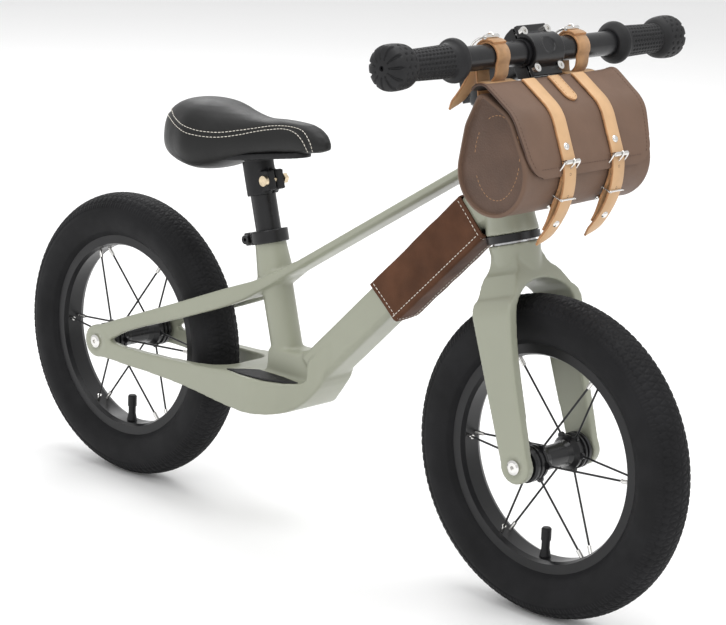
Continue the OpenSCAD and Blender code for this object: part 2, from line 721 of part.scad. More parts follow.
module bar_straps() color(tan_leather) hung() for (s = [-1, 1]) translate([0, s * bar_strap_gap / 2, 0]) {
    difference() {
        y_rod(bar_x, bar_z, bar_d / 2 + 0.05 + leather_t, -strap_w / 2, strap_w / 2);
        y_rod(bar_x, bar_z, bar_d / 2 + 0.05, -strap_w, strap_w);
    }
    bag_extrude(strap_w / 2) polygon(ribbon([[bar_x + 1, bar_z - 13], [244.5, 492], [243, 484], [238.5, 468],
        [233.5, 455]], leather_t));
}

module bar_strap_buckles() color(silver) hung() for (s = [-1, 1])
    translate([bar_x - 4, s * bar_strap_gap / 2, bar_z + bar_d / 2 + leather_t + 2.2]) {
        y_rod(0, 0, 2, -strap_w / 2 - 3, strap_w / 2 + 3);
        for (t = [-1, 1]) translate([0, t * (strap_w / 2 + 2.2), 0])
            bag_extrude(0.8) polygon(ribbon([[0, 0], [-7, -1.5], [-11, -5]], 1.6));
    }

// ---------- saddle ----------

module seat_post() color(black) along_seat() difference() {
    rod(post_d / 2, post_from, post_from + post_l + 26);
    rod(post_d / 2 - 1.6, post_from - 1, post_from + post_l + 27);
}

plate_z = 365;
plate_tilt = 9;

// The plane under the saddle pad, at the seat post, with a height above it
module at_plate(up = 0) translate([-106, 0, plate_z + up]) rotate([0, -plate_tilt, 0]) children();

module saddle_base() color(black) difference() {
    union() {
        along_seat() rod(15.6, neck_from, neck_from + 35);
        along_seat() translate([10, -11, neck_from + 3]) cube([12, 22, 20]);
        at_plate() hull() {
            for (s = [-1, 1]) translate([-66, s * 12, 0]) cylinder(h = 6, r = 22, $fn = facet_fn);
            translate([58, 0, 0]) cylinder(h = 6, r = 12, $fn = facet_fn);
        }
    }
    at_plate(6) translate([-150, -100, 0]) cube([300, 200, 60]);
    along_seat() rod(post_d / 2 + 0.01, neck_from - 1, post_from + post_l + 26);
    along_seat() translate([10, -1, neck_from - 1]) cube([14, 2, 26]);
    along_seat() y_rod(18, neck_from + 13, 3.1, -13, 13);
}

module saddle_clamp_bolt() color(silver) along_seat() {
    y_rod(18, neck_from + 13, 3, -14, 14);
    translate([18, 11.2, neck_from + 13]) rotate([-90, 0, 0]) cylinder(h = 5, r = 5.5, $fn = 6);
    y_rod(18, neck_from + 13, 5.2, -15, -11.2);
}

module saddle_pad() color(black) difference() {
    union() {
        hull() {
            for (s = [-1, 1]) translate([-168, s * 22, 389]) sphere(28, $fn = facet_fn);
            translate([-203, 0, 388]) sphere(26, $fn = facet_fn);
            translate([-100, 0, 388]) sphere(22, $fn = facet_fn);
        }
        hull() {
            translate([-110, 0, 388]) sphere(22, $fn = facet_fn);
            translate([-24, 0, 392]) sphere(17, $fn = facet_fn);
        }
    }
    at_plate(6.3) translate([-150, -100, -60]) cube([300, 200, 60]);
}

// ---------- selection ----------

frame();
headset_cups();
headset_bearings();
seat_collar();
seat_collar_bolt();
footrest_pads();
down_tube_cover();
wheel_axle(rear_x);  // rear_axle
wheel_axle_bolts(rear_x);  // rear_axle_bolts
fork();
crown_race();
headset_cover();
spacer();
stem();
stem_faceplate();
faceplate_bolts();
stem_clamp_bolts();
top_cap();
top_cap_bolt();
handlebar();
grip_left();
grip_right();
wheel_axle(front_x);  // front_axle
wheel_axle_bolts(front_x);  // front_axle_bolts
bag_body();
bar_straps();
bar_strap_buckles();
bag_snap_studs();
bag_flap();
front_strap_left();
front_strap_right();
strap_buckles();
strap_keepers();
strap_rivets();
flap_tab();
wheel_tyre(front_x);  // front_tyre
wheel_inner_tube(front_x);  // front_inner_tube
wheel_rim(front_x);  // front_rim
wheel_rim_tape(front_x);  // front_rim_tape
wheel_spokes(front_x);  // front_spokes
wheel_nipples(front_x);  // front_nipples
wheel_hub(front_x);  // front_hub
wheel_bearings(front_x);  // front_bearings
wheel_valve(front_x);  // front_valve
wheel_valve_cap(front_x);  // front_valve_cap
wheel_tyre(rear_x);  // rear_tyre
wheel_inner_tube(rear_x);  // rear_inner_tube
wheel_rim(rear_x);  // rear_rim
wheel_rim_tape(rear_x);  // rear_rim_tape
wheel_spokes(rear_x);  // rear_spokes
wheel_nipples(rear_x);  // rear_nipples
wheel_hub(rear_x);  // rear_hub
wheel_bearings(rear_x);  // rear_bearings
wheel_valve(rear_x);  // rear_valve
wheel_valve_cap(rear_x);  // rear_valve_cap
seat_post();
saddle_base();
saddle_clamp_bolt();
saddle_pad();
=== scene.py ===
import json
import math

import bmesh
import bpy
from mathutils import Matrix, Vector, noise
from mathutils.bvhtree import BVHTree
from mathutils.kdtree import KDTree


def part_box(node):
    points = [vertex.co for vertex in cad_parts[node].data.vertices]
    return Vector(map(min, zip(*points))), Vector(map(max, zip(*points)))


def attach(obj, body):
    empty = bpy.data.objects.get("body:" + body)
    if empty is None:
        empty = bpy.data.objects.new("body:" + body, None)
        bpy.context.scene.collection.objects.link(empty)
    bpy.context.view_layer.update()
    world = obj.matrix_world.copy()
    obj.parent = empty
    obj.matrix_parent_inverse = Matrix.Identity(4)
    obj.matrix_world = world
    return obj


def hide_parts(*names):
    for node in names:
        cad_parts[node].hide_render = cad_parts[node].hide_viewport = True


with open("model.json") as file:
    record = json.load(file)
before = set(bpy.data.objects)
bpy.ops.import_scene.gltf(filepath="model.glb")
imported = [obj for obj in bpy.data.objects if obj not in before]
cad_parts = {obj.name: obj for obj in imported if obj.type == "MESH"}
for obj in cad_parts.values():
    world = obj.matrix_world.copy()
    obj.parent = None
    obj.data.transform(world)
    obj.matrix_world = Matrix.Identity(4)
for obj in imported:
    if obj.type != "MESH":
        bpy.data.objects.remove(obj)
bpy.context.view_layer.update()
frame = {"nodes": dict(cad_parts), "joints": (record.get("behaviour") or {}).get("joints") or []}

MM = 0.001

# ---------- places taken from the frame, in millimetres ----------

JOINTS = {j["name"]: j for j in frame["joints"]}


def middle(node):
    """The middle of a CAD node's box, in millimetres."""
    low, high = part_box(node)
    return (low + high) / 2 / MM


FRONT_AXLE = Vector(JOINTS["front_wheel_spin"]["pos_m"]) / MM
REAR_AXLE = Vector(JOINTS["rear_wheel_spin"]["pos_m"]) / MM
BAR = middle("handlebar")
BAR_HALF = (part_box("grip_left")[1].y) / MM
TYRE_R = (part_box("front_tyre")[1].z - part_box("front_tyre")[0].z) / 2 / MM
TYRE_HALF_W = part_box("front_tyre")[1].y / MM


# ---------- mesh helpers ----------

class Shape:
    """Vertices in millimetres and faces, gathered for one mesh. Each face keeps a material number."""

    def __init__(self):
        self.points = []
        self.faces = []
        self.kinds = []

    def face(self, corners, kind=0):
        self.faces.append(corners)
        self.kinds.append(kind)

    def loft(self, rings, closed=True, loop=False, caps=True, kind=0, ring_kinds=None):
        """Joins rings of equal length.

        closed joins each ring's ends, and loop joins the last ring to the first."""
        start = len(self.points)
        size = len(rings[0])
        for ring in rings:
            self.points.extend(Vector(p) for p in ring)
        spans = len(rings) if loop else len(rings) - 1
        steps = size if closed else size - 1
        for i in range(spans):
            a = start + i * size
            b = start + (i + 1) % len(rings) * size
            for k in range(steps):
                n = (k + 1) % size
                self.face((a + k, a + n, b + n, b + k), ring_kinds[k] if ring_kinds else kind)
        if caps and not loop and closed:
            last = start + (len(rings) - 1) * size
            self.face(tuple(range(start + size - 1, start - 1, -1)), kind)
            self.face(tuple(range(last, last + size)), kind)

    def tube(self, path, radius, sides=10, loop=False, kind=0):
        """A round tube along a path. radius is a number, or a function of the share of the path."""
        rings = []
        side = None
        for i, p in enumerate(path):
            before = path[i - 1] if i or loop else p
            after = path[(i + 1) % len(path)] if i + 1 < len(path) or loop else p
            along = (after - before).normalized()
            if side is None:
                side = along.orthogonal().normalized()
            side = (side - along * side.dot(along)).normalized()
            other = along.cross(side)
            r = radius(i / max(1, len(path) - 1)) if callable(radius) else radius
            rings.append([p + side * (r * math.cos(t)) + other * (r * math.sin(t)) for t in turns(sides)])
        self.loft(rings, loop=loop, kind=kind)

    def stitch(self, a, b, radius=0.45, kind=0):
        """One thread stitch between two points, thin at both ends."""
        path = [a.lerp(b, t) for t in (0, 0.18, 0.5, 0.82, 1)]
        self.tube(path, lambda t: radius * (0.35 if t in (0, 1) else 1), sides=6, kind=kind)


def turns(count, start=0.0):
    """Angles evenly round a circle."""
    return [start + 2 * math.pi * i / count for i in range(count)]


def vec(x, y, z):
    return Vector((x, y, z))


def spline(points, steps=6):
    """A smooth curve through every point."""
    points = [Vector(p) for p in points]
    result = []
    for i in range(len(points) - 1):
        a = points[max(i - 1, 0)]
        b = points[i]
        c = points[i + 1]
        d = points[min(i + 2, len(points) - 1)]
        for k in range(steps):
            t = k / steps
            result.append(b + ((c - a) * t + (2 * a - 5 * b + 4 * c - d) * t * t
                               + (3 * b - a - 3 * c + d) * t ** 3) / 2)
    result.append(points[-1])
    return result


def resample(path, pitch, loop=False):
    """The same path with even steps of about pitch."""
    closed = path + [path[0]] if loop else path
    ends = [0.0]
    for a, b in zip(closed, closed[1:]):
        ends.append(ends[-1] + (b - a).length)
    count = max(2, round(ends[-1] / pitch))
    result = []
    k = 0
    for i in range(count if loop else count + 1):
        target = ends[-1] * i / count
        while k < len(closed) - 2 and ends[k + 1] < target:
            k += 1
        share = (target - ends[k]) / max(1e-9, ends[k + 1] - ends[k])
        result.append(closed[k].lerp(closed[k + 1], min(1, max(0, share))))
    return result


def piece(name, shape, materials, body, replaces=(), sharp=40):
    """Makes one visible piece from a Shape or a mesh in millimetres and puts it on its body."""
    if isinstance(shape, Shape):
        mesh = bpy.data.meshes.new(name)
        mesh.from_pydata([p * MM for p in shape.points], [], shape.faces)
        mesh.polygons.foreach_set("material_index", shape.kinds)
        mesh.validate()
    else:
        mesh = shape
    tidy_normals(mesh)
    obj = bpy.data.objects.new(name, mesh)
    bpy.context.scene.collection.objects.link(obj)
    for m in materials if isinstance(materials, (list, tuple)) else [materials]:
        mesh.materials.append(m)
    shade(obj, sharp)
    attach(obj, body)
    if replaces:
        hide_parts(*replaces)
    return obj


def tidy_normals(mesh):
    work = bmesh.new()
    work.from_mesh(mesh)
    bmesh.ops.recalc_face_normals(work, faces=work.faces)
    work.to_mesh(mesh)
    work.free()


def shade(obj, sharp=40):
    obj.data.polygons.foreach_set("use_smooth", [True] * len(obj.data.polygons))
    obj.data.set_sharp_from_angle(angle=math.radians(sharp))
    obj.data.update()


def apply_modifiers(obj):
    """Freezes an object's modifiers into its mesh."""
    graph = bpy.context.evaluated_depsgraph_get()
    mesh = bpy.data.meshes.new_from_object(obj.evaluated_get(graph))
    obj.modifiers.clear()
    old = obj.data
    obj.data = mesh
    bpy.data.meshes.remove(old)


def skin(name, node, materials, body, voxel=1.5, passes=12):
    """A cast or moulded copy of a CAD node, with rounded edges and filled corners."""
    obj = bpy.data.objects.new(name, frame["nodes"][node].data.copy())
    bpy.context.scene.collection.objects.link(obj)
    obj.data.materials.clear()
    remesh = obj.modifiers.new("remesh", "REMESH")
    remesh.mode = "VOXEL"
    remesh.voxel_size = voxel * MM
    soften = obj.modifiers.new("soften", "SMOOTH")
    soften.factor = 0.5
    soften.iterations = passes
    apply_modifiers(obj)
    obj.data.materials.append(materials)
    shade(obj, 180)
    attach(obj, body)
    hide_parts(node)
    return obj


# ---------- materials ----------

def link(tree, a, b):
    tree.links.new(a, b)


def texture(tree, kind, scale, coords, detail=3.0):
    """A noise or cell texture, as an output between 0 and 1."""
    if kind == "cells":
        node = tree.nodes.new("ShaderNodeTexVoronoi")
        node.feature = "SMOOTH_F1"
        node.inputs["Smoothness"].default_value = 0.6
        node.inputs["Scale"].default_value = scale
        link(tree, coords, node.inputs["Vector"])
        return node.outputs["Distance"]
    node = tree.nodes.new("ShaderNodeTexNoise")
    node.inputs["Scale"].default_value = scale
    node.inputs["Detail"].default_value = detail
    link(tree, coords, node.inputs["Vector"])
    return node.outputs["Fac"]


def material(name, colour, roughness, metallic=0.0, spread=0.12, patch=40.0, bumps=(), coat=0.0,
             sheen=0.0, rough_spread=0.08, specular=0.5):
    """A Principled shader with soft patches of colour and roughness, and layers of bump.

    bumps is a list of (kind, scale, depth in millimetres)."""
    result = bpy.data.materials.new(name)
    result.use_nodes = True
    tree = result.node_tree
    shader = tree.nodes["Principled BSDF"]
    shader.inputs["Metallic"].default_value = metallic
    shader.inputs["Coat Weight"].default_value = coat
    shader.inputs["Coat Roughness"].default_value = 0.2
    shader.inputs["Sheen Weight"].default_value = sheen
    shader.inputs["Sheen Roughness"].default_value = 0.5
    shader.inputs["Specular IOR Level"].default_value = specular
    place = tree.nodes.new("ShaderNodeTexCoord")
    coords = place.outputs["Object"]
    patches = texture(tree, "noise", patch, coords)
    ramp = tree.nodes.new("ShaderNodeValToRGB")
    ramp.color_ramp.elements[0].position = 0.3
    ramp.color_ramp.elements[1].position = 0.7
    ramp.color_ramp.elements[0].color = [c * (1 - spread) for c in colour] + [1]
    ramp.color_ramp.elements[1].color = [min(1, c * (1 + spread)) for c in colour] + [1]
    link(tree, patches, ramp.inputs["Fac"])
    link(tree, ramp.outputs["Color"], shader.inputs["Base Color"])
    wear = tree.nodes.new("ShaderNodeMapRange")
    wear.inputs["To Min"].default_value = max(0.02, roughness - rough_spread)
    wear.inputs["To Max"].default_value = min(1, roughness + rough_spread)
    link(tree, texture(tree, "noise", patch * 3, coords), wear.inputs["Value"])
    link(tree, wear.outputs["Result"], shader.inputs["Roughness"])
    normal = None
    for kind, scale, depth in bumps:
        bump = tree.nodes.new("ShaderNodeBump")
        bump.inputs["Distance"].default_value = depth * MM
        bump.inputs["Strength"].default_value = 1.0
        link(tree, texture(tree, kind, scale, coords), bump.inputs["Height"])
        if normal:
            link(tree, normal, bump.inputs["Normal"])
        normal = bump.outputs["Normal"]
    if normal:
        link(tree, normal, shader.inputs["Normal"])
    return result


PAINT = material("sage_paint", (0.300, 0.310, 0.240), 0.38, coat=0.2, spread=0.03, patch=12,
                 bumps=[("noise", 600, 0.03)])
BLACK_ALLOY = material("black_alloy", (0.009, 0.009, 0.010), 0.3, coat=0.1, spread=0.2, patch=50,
                       specular=0.35, bumps=[("noise", 900, 0.006)])
BLACK_STEEL = material("black_steel", (0.015, 0.015, 0.016), 0.35, metallic=0.3, spread=0.2,
                       bumps=[("noise", 900, 0.02)])
RIM_BLACK = material("rim_black", (0.009, 0.009, 0.010), 0.33, coat=0.08, specular=0.3, spread=0.15,
                     patch=20,
                     bumps=[("noise", 1200, 0.015)])
STEEL = material("machined_steel", (0.55, 0.55, 0.56), 0.32, metallic=1.0, spread=0.08,
                 bumps=[("noise", 1400, 0.02)])
NICKEL = material("nickel", (0.75, 0.74, 0.72), 0.16, metallic=1.0, spread=0.05, patch=90,
                  bumps=[("noise", 500, 0.02)])
ZINC = material("yellow_zinc", (0.72, 0.60, 0.42), 0.3, metallic=1.0, spread=0.2, patch=200,
                bumps=[("noise", 700, 0.02)])
PLASTIC = material("black_plastic", (0.010, 0.010, 0.011), 0.48, specular=0.3, spread=0.15, patch=60,
                   bumps=[("noise", 1500, 0.05)])
RUBBER = material("grip_rubber", (0.011, 0.011, 0.012), 0.55, specular=0.3, spread=0.15, patch=80,
                  bumps=[("noise", 1800, 0.05)])
TYRE = material("tyre_rubber", (0.0075, 0.0075, 0.0085), 0.62, specular=0.2, spread=0.3, patch=25,
                bumps=[("noise", 900, 0.07)], rough_spread=0.12)
VALVE_RUBBER = material("valve_rubber", (0.009, 0.009, 0.010), 0.5, specular=0.3, spread=0.2,
                        bumps=[("noise", 1500, 0.04)])
TAPE = material("rim_tape", (0.45, 0.33, 0.17), 0.9, spread=0.2, bumps=[("noise", 900, 0.1)])
BAG = material("bag_leather", (0.142, 0.084, 0.056), 0.55, specular=0.3, spread=0.10, patch=30, sheen=0.05,
               bumps=[("cells", 1500, 0.05), ("noise", 350, 0.08)])
BAG_GRAIN = material("bag_leather_grained", (0.095, 0.054, 0.036), 0.48, specular=0.4, spread=0.14, patch=40,
                     bumps=[("cells", 620, 0.28), ("noise", 350, 0.08)])
BAG_EDGE = material("bag_leather_edge", (0.07, 0.035, 0.022), 0.6, spread=0.2, patch=200,
                    bumps=[("noise", 1200, 0.12)])
# The dark lining inside the bag and under the flap. The same dark colour is also painted shade on the strap
# holes.
LINING_AND_HOLE_SHADE = material("bag_lining_and_hole_shade", (0.03, 0.022, 0.018), 0.85, spread=0.2, bumps=[("noise", 900, 0.15)])
TAN = material("tan_leather", (0.58, 0.365, 0.195), 0.5, specular=0.35, spread=0.09, patch=45,
               bumps=[("cells", 1800, 0.03), ("noise", 500, 0.06)])
TAN_EDGE = material("tan_leather_edge", (0.40, 0.20, 0.085), 0.7, spread=0.2, patch=200,
                    bumps=[("noise", 1200, 0.15)])
TAN_BACK = material("tan_leather_back", (0.36, 0.20, 0.09), 0.85, spread=0.2, patch=120, sheen=0.2,
                    bumps=[("noise", 900, 0.2)])
COVER = material("cover_leather", (0.088, 0.038, 0.020), 0.6, specular=0.12, spread=0.25, patch=35,
                 bumps=[("cells", 900, 0.12), ("noise", 300, 0.1)])
SADDLE = material("saddle_vinyl", (0.009, 0.009, 0.009), 0.45, specular=0.32, spread=0.12, patch=30,
                  bumps=[("cells", 1300, 0.06), ("noise", 200, 0.08)])
THREAD = material("cream_thread", (0.72, 0.68, 0.60), 0.8, spread=0.1, patch=300, sheen=0.2,
                  bumps=[("noise", 3000, 0.08)])
BROWN_THREAD = material("brown_thread", (0.10, 0.055, 0.038), 0.75, spread=0.1, patch=300,
                        bumps=[("noise", 3000, 0.08)])
TAN_THREAD = material("tan_thread", (0.42, 0.23, 0.11), 0.75, spread=0.1, patch=300,
                      bumps=[("noise", 3000, 0.08)])


# ---------- CAD nodes that keep their shape ----------

def paint_node(node, mat, sharp=30):
    obj = frame["nodes"][node]
    obj.data.materials.clear()
    obj.data.materials.append(mat)
    shade(obj, sharp)


KEPT = {
    "headset_cups": BLACK_ALLOY, "headset_bearings": STEEL, "seat_collar_bolt": BLACK_STEEL,
    "rear_axle": STEEL, "front_axle": STEEL, "crown_race": STEEL, "headset_cover": BLACK_ALLOY,
    "spacer": BLACK_ALLOY, "handlebar": BLACK_ALLOY, "top_cap_bolt": NICKEL, "top_cap": PLASTIC,
    "stem_clamp_bolts": NICKEL, "seat_post": BLACK_ALLOY, "saddle_clamp_bolt": ZINC,
    "rear_axle_bolts": NICKEL, "front_axle_bolts": NICKEL, "faceplate_bolts": NICKEL,
    "bag_snap_studs": NICKEL,
}


def paint_kept_nodes():
    for node, mat in KEPT.items():
        paint_node(node, mat)
    for end in ("front", "rear"):
        for part, mat in {"inner_tube": RUBBER, "rim": RIM_BLACK, "rim_tape": TAPE, "spokes": BLACK_STEEL,
                          "nipples": NICKEL, "hub": BLACK_ALLOY, "bearings": STEEL, "valve": VALVE_RUBBER,
                          "valve_cap": PLASTIC}.items():
            paint_node(f"{end}_{part}", mat)


# ---------- frame, fork and other cast pieces ----------

def cast_pieces():
    skin("cast_frame", "frame", PAINT, "frame", voxel=1.5, passes=14)
    skin("cast_fork", "fork", PAINT, "steering", voxel=1.4, passes=12)
    skin("forged_stem", "stem", BLACK_ALLOY, "steering", voxel=0.8, passes=6)
    skin("forged_faceplate", "stem_faceplate", BLACK_ALLOY, "steering", voxel=0.7, passes=5)
    skin("clamp_collar", "seat_collar", BLACK_ALLOY, "frame", voxel=0.8, passes=4)
    skin("moulded_saddle_base", "saddle_base", PLASTIC, "saddle", voxel=1.1, passes=5)
    skin("footrest_rubber", "footrest_pads", RUBBER, "frame", voxel=0.7, passes=3)


# ---------- tyres ----------

TREAD_PITCH = 120
TREAD_HALF = 1.12
TREAD_DEPTH = 0.9


def groove(distance, width):
    return math.exp(-(distance / width) ** 2)


def tread_height(turn, lean):
    """How far the rubber stands proud at a share of the turn, and an angle from the tyre's crown."""
    edge = abs(lean)
    if edge > TREAD_HALF:
        ribs = sum(groove(edge - at, 0.018) for at in (1.28, 1.34, 2.2, 2.28))
        return 0.35 * ribs
    pitch = 2 * math.pi * TYRE_R / TREAD_PITCH
    across = lean * TYRE_HALF_W
    cut = 0.0
    for sign in (1, -1):
        bend = sign * 7.5 * math.sin(across / TYRE_HALF_W * 1.5) + 0.5 * pitch * (sign > 0)
        slope = 7.5 / TYRE_HALF_W * 1.5 * math.cos(across / TYRE_HALF_W * 1.5)
        at = (turn * TREAD_PITCH * pitch - bend) % pitch
        near = min(at, pitch - at) / math.hypot(1, slope)
        cut = max(cut, groove(near, 0.62))
    wave = 1.1 * math.sin(turn * TREAD_PITCH * 2 * math.pi)
    for line in (4.5, 12.5, 20.5):
        cut = max(cut, groove(abs(across) - line - wave, 0.55))
    shoulder = min(1, (TREAD_HALF - edge) / 0.03)
    return TREAD_DEPTH * (1 - cut) * shoulder


def tyre(end, axle):
    """One tyre with its tread cut into the crown."""
    steps = 960
    body_r = TYRE_HALF_W - TREAD_DEPTH
    mid_r = TYRE_R - TYRE_HALF_W
    tread = [TREAD_HALF * (i / 34 - 1) for i in range(69)]
    wall = [TREAD_HALF + 0.012 + (2.42 - TREAD_HALF) * (i / 17) for i in range(18)]
    leans = [-a for a in reversed(wall)] + tread + wall
    rings = []
    for i in range(steps):
        turn = i / steps
        out = vec(math.cos(2 * math.pi * turn), 0, math.sin(2 * math.pi * turn))
        ring = []
        for lean in leans:
            r = body_r + tread_height(turn, lean)
            ring.append(axle + out * (mid_r + r * math.cos(lean)) + vec(0, r * math.sin(lean), 0))
        bead = mid_r + body_r * math.cos(2.42)
        for y, r in ((11.6, bead - 3.5), (8.4, bead - 3.5), (9, bead + 3), (-9, bead + 3), (-8.4, bead - 3.5),
                     (-11.6, bead - 3.5)):
            ring.append(axle + out * r + vec(0, y, 0))
        rings.append(ring)
    shape = Shape()
    shape.loft(rings, loop=True)
    piece(f"{end}_tyre_rubber", shape, TYRE, f"{end}_wheel", [f"{end}_tyre"], sharp=60)


# ---------- grips ----------

GRIP_DOT_ROWS = 22


def profile_at(stations, at):
    """A value between the stations of a profile, eased so that there are no corners."""
    for (a, low), (b, high) in zip(stations, stations[1:]):
        if at <= b:
            share = max(0, (at - a) / (b - a))
            return low + (high - low) * share * share * (3 - 2 * share)
    return stations[-1][1]


def dimple(across, along, wide, long, depth):
    """Depth of an oblong dimple at an offset from its middle."""
    near = (across / wide) ** 2 + (along / long) ** 2
    return depth * (1 - near) ** 0.5 if near < 1 else 0.0


def grip_cut(turn, r, at):
    """Depth of the moulded pattern at a share of the turn and a distance from the bike's middle."""
    row = math.floor(turn * GRIP_DOT_ROWS)
    across = (turn * GRIP_DOT_ROWS - row - 0.5) * 2 * math.pi * r / GRIP_DOT_ROWS
    end = BAR_HALF
    if 123 < at < end - 32:
        pitch = 4.4
        along = (at - 123 + (row % 2) * pitch / 2) % pitch - pitch / 2
        return dimple(across, along, 1.35, 1.6, 1.3)
    if end - 25 < at < end - 11:
        pitch = 7.2
        along = (at - end + 25 + (row % 2) * pitch / 2) % pitch - pitch / 2
        return dimple(across, along, 1.6, 1.6, 1.5)
    if row % 2 == 0 and r > 7:
        return dimple(across, at - end + 4.0, 1.4, 4.5, 1.8)
    return 0.0


def grip(side, name):
    """A rubber grip with a cup flange, a dimpled body and a ball end."""
    end = BAR_HALF
    outline = [(103.2, 12.4), (103.4, 13.6), (106, 16.6), (109, 19.1), (112, 19.5), (114.2, 18.6),
               (116.6, 16.2), (120, 14.9), (130, 14.5), (150, 14.0), (end - 33, 13.7), (end - 31, 14.6),
               (end - 28.5, 17.2), (end - 25.5, 18.9), (end - 20, 19.7), (end - 14, 20.0),
               (end - 8, 19.7), (end - 4.5, 18.4), (end - 2.2, 15.4), (end - 0.9, 11.5), (end - 0.4, 7),
               (end - 0.1, 3), (end - 0.4, 2.2), (end - 3, 1.8)]
    path = resample(spline([vec(at, r, 0) for at, r in outline], 8), 0.62)
    rings = []
    for i, p in enumerate(path):
        step = path[min(i + 1, len(path) - 1)] - path[max(i - 1, 0)]
        out = vec(-step.y, step.x, 0).normalized()
        ring = []
        for angle in turns(GRIP_DOT_ROWS * 6):
            cut = grip_cut(angle / 2 / math.pi, p.y, p.x)
            at = p.x - out.x * cut
            r = p.y - out.y * cut
            ring.append(vec(BAR.x + r * math.cos(angle), side * at, BAR.z + r * math.sin(angle)))
        rings.append(ring)
    shape = Shape()
    shape.loft(rings)
    piece(name + "_rubber", shape, RUBBER, "steering", [name], sharp=50)


# ---------- saddle ----------

# Places along the saddle from its rear tip: x, half width, top, bottom
SADDLE_STATIONS = [(-230, 5, 386.5, 370), (-227.5, 14, 396, 359), (-220, 24, 404.5, 351.5),
                   (-204, 36, 413, 348), (-186, 43.5, 417.5, 345), (-167, 49, 418.5, 344.5),
                   (-149, 45.5, 416.8, 347.5), (-131, 38, 413, 354.5), (-108, 29, 409.6, 363),
                   (-90, 23.5, 408.9, 368), (-64, 19, 410.8, 373.5), (-37, 16.7, 410.5, 378.5),
                   (-24, 13.8, 407.5, 380.5), (-14, 9.5, 402, 383), (-8, 5, 396, 385),
                   (-5.5, 1.5, 391.5, 386)]
# The two rows of stitches on one side: x, y, z, from the middle of the rear to the nose's lower edge
SEAM_UPPER = [(-223.5, 0, 402), (-217, 18, 402), (-203, 29, 401.5), (-192, 36, 398), (-172, 45, 394),
              (-155, 44, 391), (-142, 40, 390), (-125, 34, 391), (-108, 27, 395), (-90, 20, 400),
              (-75, 16, 404), (-60, 13.3, 406), (-46, 12.4, 406.5), (-34, 12.6, 404.5),
              (-26, 13.4, 398), (-22, 12.5, 390), (-23, 9, 382)]
SEAM_LOWER = [(-227, 0, 396.5), (-220, 21, 396.5), (-202, 33, 396), (-184, 41.5, 391.5),
              (-165, 48, 388), (-153, 45, 386), (-139, 40.4, 385.5), (-125, 35, 387), (-107, 28, 391.4),
              (-89, 21, 397.3), (-73, 17.5, 401.4), (-62, 15.4, 403.6), (-50.7, 15, 403.8),
              (-39, 15.5, 400.5), (-31, 15, 394), (-27, 13, 386), (-28, 10, 380)]


def saddle_ring(x, half, top, bottom):
    """One cross-section of the cushion: a domed top, a rounded shoulder and a wall that rolls under."""
    ring = []
    middle_z = bottom + (top - bottom) * 0.42
    for angle in turns(72):
        side = math.sin(angle)
        up = math.cos(angle)
        power = 0.86 if up > 0 else 0.8
        y = half * math.copysign(abs(side) ** power, side)
        reach = top - middle_z if up > 0 else middle_z - bottom
        ring.append(vec(x, y, middle_z + reach * math.copysign(abs(up) ** power, up)))
    return ring


def saddle_pad():
    stations = [spline([vec(s[0], s[k], 0) for s in SADDLE_STATIONS], 5) for k in (1, 2, 3)]
    rings = [saddle_ring(a.x, a.y, b.y, c.y) for a, b, c in zip(*stations)]
    shape = Shape()
    shape.loft(rings)
    obj = piece("saddle_cushion", shape, SADDLE, "saddle", ["saddle_pad"], sharp=180)
    swell(obj, 4.0, 1.6, lambda p: p.z < 362)
    press_seam(obj)
    tree = surface(obj)
    thread = Shape()
    for row in (SEAM_UPPER, SEAM_LOWER):
        for side in (1, -1):
            outline = spline([vec(x, side * y, z) for x, y, z in row], 6)
            stitch_row(thread, lay(tree, resample(outline, 1.5), 0.2), 4.0, 2.9, 0.36)
    piece("saddle_stitches", thread, THREAD, "saddle")


def press_seam(obj):
    """Presses the cover in between its two rows of stitches."""
    line = []
    for side in (1, -1):
        upper = spline([vec(x, side * y, z) for x, y, z in SEAM_UPPER], 8)
        lower = spline([vec(x, side * y, z) for x, y, z in SEAM_LOWER], 8)
        line += [(a + b) / 2 for a, b in zip(upper, lower)]
    line = lay(surface(obj), line, 0)
    tree = KDTree(len(line))
    for i, p in enumerate(line):
        tree.insert(p, i)
    tree.balance()
    normals = [v.normal.copy() for v in obj.data.vertices]
    for v, normal in zip(obj.data.vertices, normals):
        _, _, away = tree.find(v.co / MM)
        v.co -= normal * (0.9 * MM * groove(away, 2.2))


def swell(obj, pressure, shrink, held, voxel=4.5, most=1.6):
    """Fills a cover like a cushion: it starts slightly small, and a cloth simulation blows it up."""
    remesh = obj.modifiers.new("remesh", "REMESH")
    remesh.mode = "VOXEL"
    remesh.voxel_size = voxel * MM
    apply_modifiers(obj)
    start = [v.co.copy() for v in obj.data.vertices]
    scene = bpy.context.scene
    normals = [v.normal.copy() for v in obj.data.vertices]
    for v, normal in zip(obj.data.vertices, normals):
        v.co -= normal * shrink * MM
    group = obj.vertex_groups.new(name="held")
    group.add([i for i, p in enumerate(start) if held(p / MM)], 1.0, "REPLACE")
    cloth = obj.modifiers.new("cloth", "CLOTH")
    cloth.settings.quality = 6
    cloth.settings.use_pressure = True
    cloth.settings.uniform_pressure_force = pressure
    cloth.settings.tension_stiffness = 40
    cloth.settings.compression_stiffness = 40
    cloth.settings.bending_stiffness = 20
    cloth.settings.effector_weights.gravity = 0
    cloth.settings.vertex_group_mass = "held"
    for number in range(1, 21):
        scene.frame_set(number)
    apply_modifiers(obj)
    scene.frame_set(1)
    obj.vertex_groups.clear()
    for v, p in zip(obj.data.vertices, start):
        travel = v.co - p
        if travel.length > most * MM:
            v.co = p + travel * (most * MM / travel.length)
    finer = obj.modifiers.new("finer", "SUBSURF")
    finer.levels = 2
    apply_modifiers(obj)
    shade(obj, 180)


